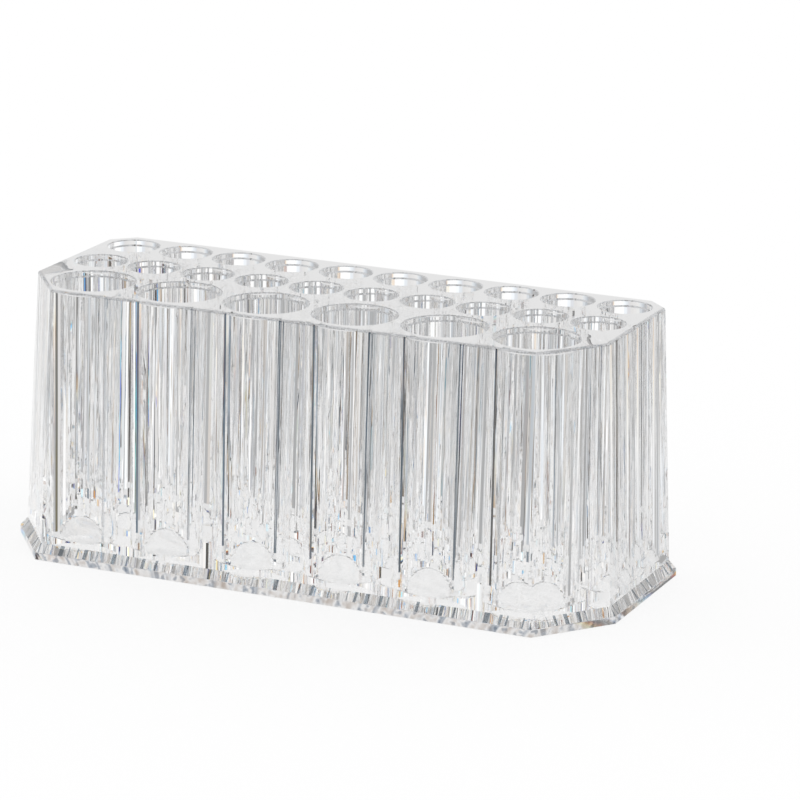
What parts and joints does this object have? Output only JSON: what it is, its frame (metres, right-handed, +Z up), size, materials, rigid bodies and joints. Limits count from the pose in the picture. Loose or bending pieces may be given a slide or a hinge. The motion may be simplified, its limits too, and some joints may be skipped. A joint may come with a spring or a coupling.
{
  "type": "makeup brush holder",
  "caption": "Clear countertop holder: a drafted eight-sided block on a flared foot, with rows of wide and narrow round wells for makeup brushes, on a thin base plate.",
  "frame": {"origin": "centre of the base plate's underside", "axes": "+X along the length, +Y from the wide wells towards the narrow wells, +Z up"},
  "size_m": [0.13, 0.055, 0.055],
  "materials": {
    "clear_plate": "polished, water-clear",
    "clear_block": "polished, water-clear"
  },
  "bodies": {
    "root": {"base_plate": "clear_plate", "well_block": "clear_block"}
  },
  "joints": []
}
